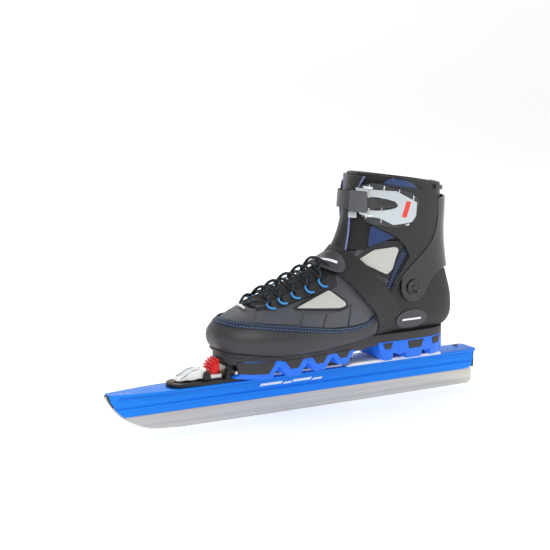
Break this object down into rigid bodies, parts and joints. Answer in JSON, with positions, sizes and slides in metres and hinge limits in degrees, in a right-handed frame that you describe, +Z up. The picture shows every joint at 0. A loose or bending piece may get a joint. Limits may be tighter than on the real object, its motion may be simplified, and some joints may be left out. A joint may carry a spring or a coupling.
{
  "type": "speed skate",
  "caption": "Left touring speed skate: long straight blade in a tubular runner, toe binding with a lifting heel, and a soft laced boot with a hinged cuff, instep strap and ratchet buckle.",
  "frame": {"origin": "middle of the blade's running edge, on the ice", "axes": "+X from toe to heel along the blade, +Y to the inner (medial) side of the foot, +Z up"},
  "size_m": [0.4685, 0.1017, 0.2652],
  "materials": {
    "steel": "ground bright",
    "anodised_aluminium": "blue anodised, satin",
    "black_plastic": "satin",
    "white_plastic": "smooth",
    "red_rubber": "smooth",
    "blue_rubber": "moulded",
    "dark_rubber": "moulded",
    "grey_leather": "coated",
    "grey_plastic": "moulded",
    "navy_fabric": "brushed lining",
    "black_fabric": "woven",
    "white_mesh": "fine mesh",
    "blue_webbing": "woven",
    "black_cuff": "satin",
    "silver_plastic": "metallic"
  },
  "bodies": {
    "runner": {"blade": "steel", "runner_tube": "anodised_aluminium", "blade_pin_1": "steel", "blade_pin_2": "steel", "blade_pin_3": "steel", "blade_pin_4": "steel", "front_end_plug": "black_plastic", "rear_end_plug": "black_plastic", "flange_screw": "steel", "binding_base": "black_plastic", "base_screw_front": "steel", "base_screw_rear": "steel", "binding_rail": "black_plastic", "heel_plate": "white_plastic", "heel_plate_screw_1": "steel", "heel_plate_screw_2": "steel", "lever_pin": "steel", "flexor": "red_rubber", "flexor_rim": "white_plastic"},
    "binding_lever": {"binding_lever": "white_plastic"},
    "latch": {"latch_jaw": "steel"},
    "boot": {"boot_upper": "grey_leather", "inner_liner": "navy_fabric", "tongue": "black_fabric", "footbed": "black_fabric", "sole_core": "dark_rubber", "forefoot_tread": "blue_rubber", "heel_tread": "blue_rubber", "toe_bar": "steel", "toe_rand": "grey_plastic", "forefoot_panel_lateral": "white_mesh", "forefoot_panel_medial": "white_mesh", "ankle_panel_lateral": "white_mesh", "ankle_panel_medial": "white_mesh", "lace_loops_lateral": "blue_webbing", "lace_loops_medial": "blue_webbing", "lace": "black_fabric", "lace_keeper": "white_plastic", "instep_strap": "black_fabric", "strap_badge": "grey_plastic", "heel_badge": "grey_plastic", "cuff_rivet_lateral": "black_plastic", "cuff_rivet_medial": "black_plastic"},
    "cuff": {"collar_padding": "navy_fabric", "tongue_top": "black_fabric", "cuff_shell": "black_cuff", "cuff_wing_lateral": "black_cuff", "cuff_wing_medial": "black_cuff", "buckle_base": "silver_plastic", "buckle_pin_upper": "steel", "buckle_pin_lower": "steel", "strap_anchor": "silver_plastic", "strap_anchor_pin": "steel"},
    "buckle_lever": {"buckle_lever": "silver_plastic"},
    "ratchet_strap": {"ratchet_strap": "black_plastic"}
  },
  "joints": [
    {"name": "binding_lever_hinge", "type": "hinge", "parent": "runner", "child": "binding_lever", "pos_m": [-0.1215, 0, 0.056], "axis": [0, 1, 0], "range_deg": [0, 45], "stiffness_Nm_per_rad": 0.08},
    {"name": "latch_slide", "type": "slide", "parent": "runner", "child": "latch", "axis": [-1, 0, 0], "range_m": [0, 0.003]},
    {"name": "heel_lift", "type": "hinge", "parent": "runner", "child": "boot", "pos_m": [-0.0935, 0, 0.058], "axis": [0, -1, 0], "range_deg": [0, 27], "stiffness_Nm_per_rad": 3, "deforming": ["flexor"]},
    {"name": "cuff_flex", "type": "hinge", "parent": "boot", "child": "cuff", "pos_m": [0.123, 0, 0.134], "axis": [0, -1, 0], "range_deg": [-3, 5], "stiffness_Nm_per_rad": 5},
    {"name": "buckle_lever_hinge", "type": "hinge", "parent": "cuff", "child": "buckle_lever", "pos_m": [0.0668, -0.03275, 0.231], "axis": [0, -0.0229, -0.9997], "range_deg": [0, 100]},
    {"name": "ratchet_strap_hinge", "type": "hinge", "parent": "cuff", "child": "ratchet_strap", "pos_m": [0.079, 0.04247, 0.231], "axis": [0, -0.0195, -0.9998], "range_deg": [0, 50]}
  ],
  "couplings": [
    {"joint": "latch_slide", "follows": "binding_lever_hinge", "m_per_rad": 0.0036}
  ]
}
